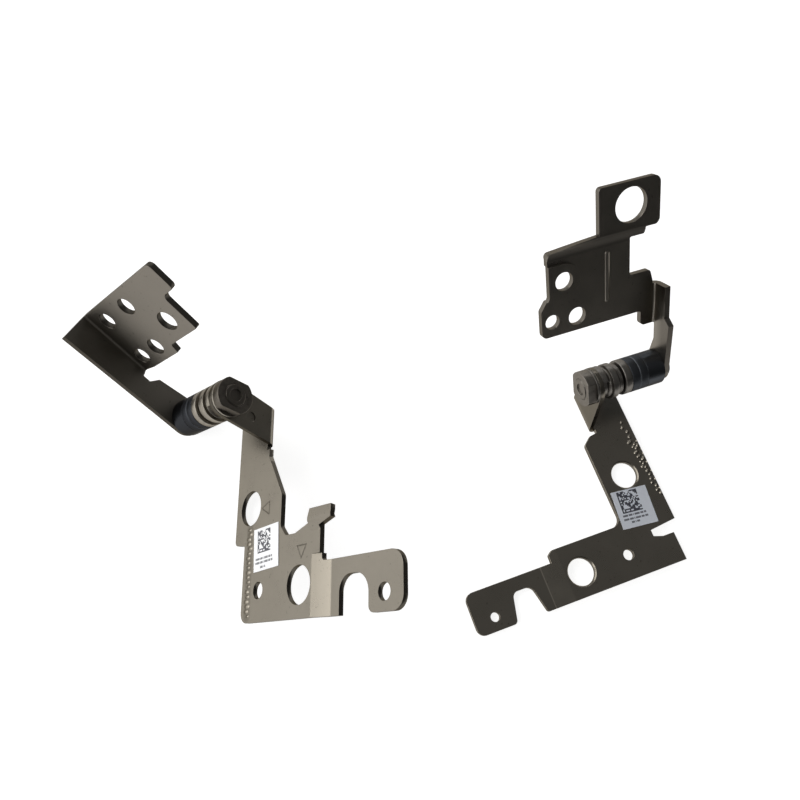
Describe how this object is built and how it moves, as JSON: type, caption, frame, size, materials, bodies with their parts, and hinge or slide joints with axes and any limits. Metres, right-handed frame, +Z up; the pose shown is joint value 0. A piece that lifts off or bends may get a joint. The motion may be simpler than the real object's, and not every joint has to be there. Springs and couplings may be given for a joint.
{
  "type": "laptop hinge pair",
  "caption": "Mirrored pair of laptop lid friction hinges: flat base brackets with screw holes, a shaft with a disc stack, and folded lid brackets that open.",
  "frame": {"origin": "bottom centre of the pair's bounding box, on the surface that both hinges lie on", "axes": "+Z up, +X along the row of two hinges towards the left-hand one, +Y towards the lid brackets"},
  "size_m": [0.1007, 0.0663, 0.0319],
  "materials": {
    "bracket_steel": "satin nickel plate",
    "ring_steel": "bare turned steel",
    "blued_steel": "blue-black oxide",
    "label_paper": "matte printed label"
  },
  "bodies": {
    "base_brackets": {"right_base_bracket": "bracket_steel", "right_bracket_label": "label_paper", "left_base_bracket": "bracket_steel", "left_bracket_label": "label_paper"},
    "right_lid_side": {"right_lid_bracket": "bracket_steel", "right_hinge_shaft": "blued_steel", "right_end_plate": "bracket_steel", "right_thrust_washer": "ring_steel", "right_stop_cam": "ring_steel", "right_pressure_ring": "ring_steel", "right_disc_spring_outer": "ring_steel", "right_disc_spring_middle": "ring_steel", "right_disc_spring_inner": "ring_steel", "right_spacer_ring": "ring_steel", "right_friction_disc_outer": "blued_steel", "right_friction_disc_inner": "blued_steel"},
    "left_lid_side": {"left_lid_bracket": "bracket_steel", "left_hinge_shaft": "blued_steel", "left_end_plate": "bracket_steel", "left_thrust_washer": "ring_steel", "left_stop_cam": "ring_steel", "left_pressure_ring": "ring_steel", "left_disc_spring_outer": "ring_steel", "left_disc_spring_middle": "ring_steel", "left_disc_spring_inner": "ring_steel", "left_spacer_ring": "ring_steel", "left_friction_disc_outer": "blued_steel", "left_friction_disc_inner": "blued_steel"}
  },
  "joints": [
    {"name": "right_lid_hinge", "type": "hinge", "parent": "base_brackets", "child": "right_lid_side", "pos_m": [-0.02525, 0.00074, 0.01243], "axis": [-0.594, -0.0054, -0.8045], "range_deg": [-120, 25]},
    {"name": "left_lid_hinge", "type": "hinge", "parent": "base_brackets", "child": "left_lid_side", "pos_m": [0.03374, 0.00666, 0.00891], "axis": [-0.9409, -0.3386, 0], "range_deg": [-130.2, 14.8]}
  ]
}
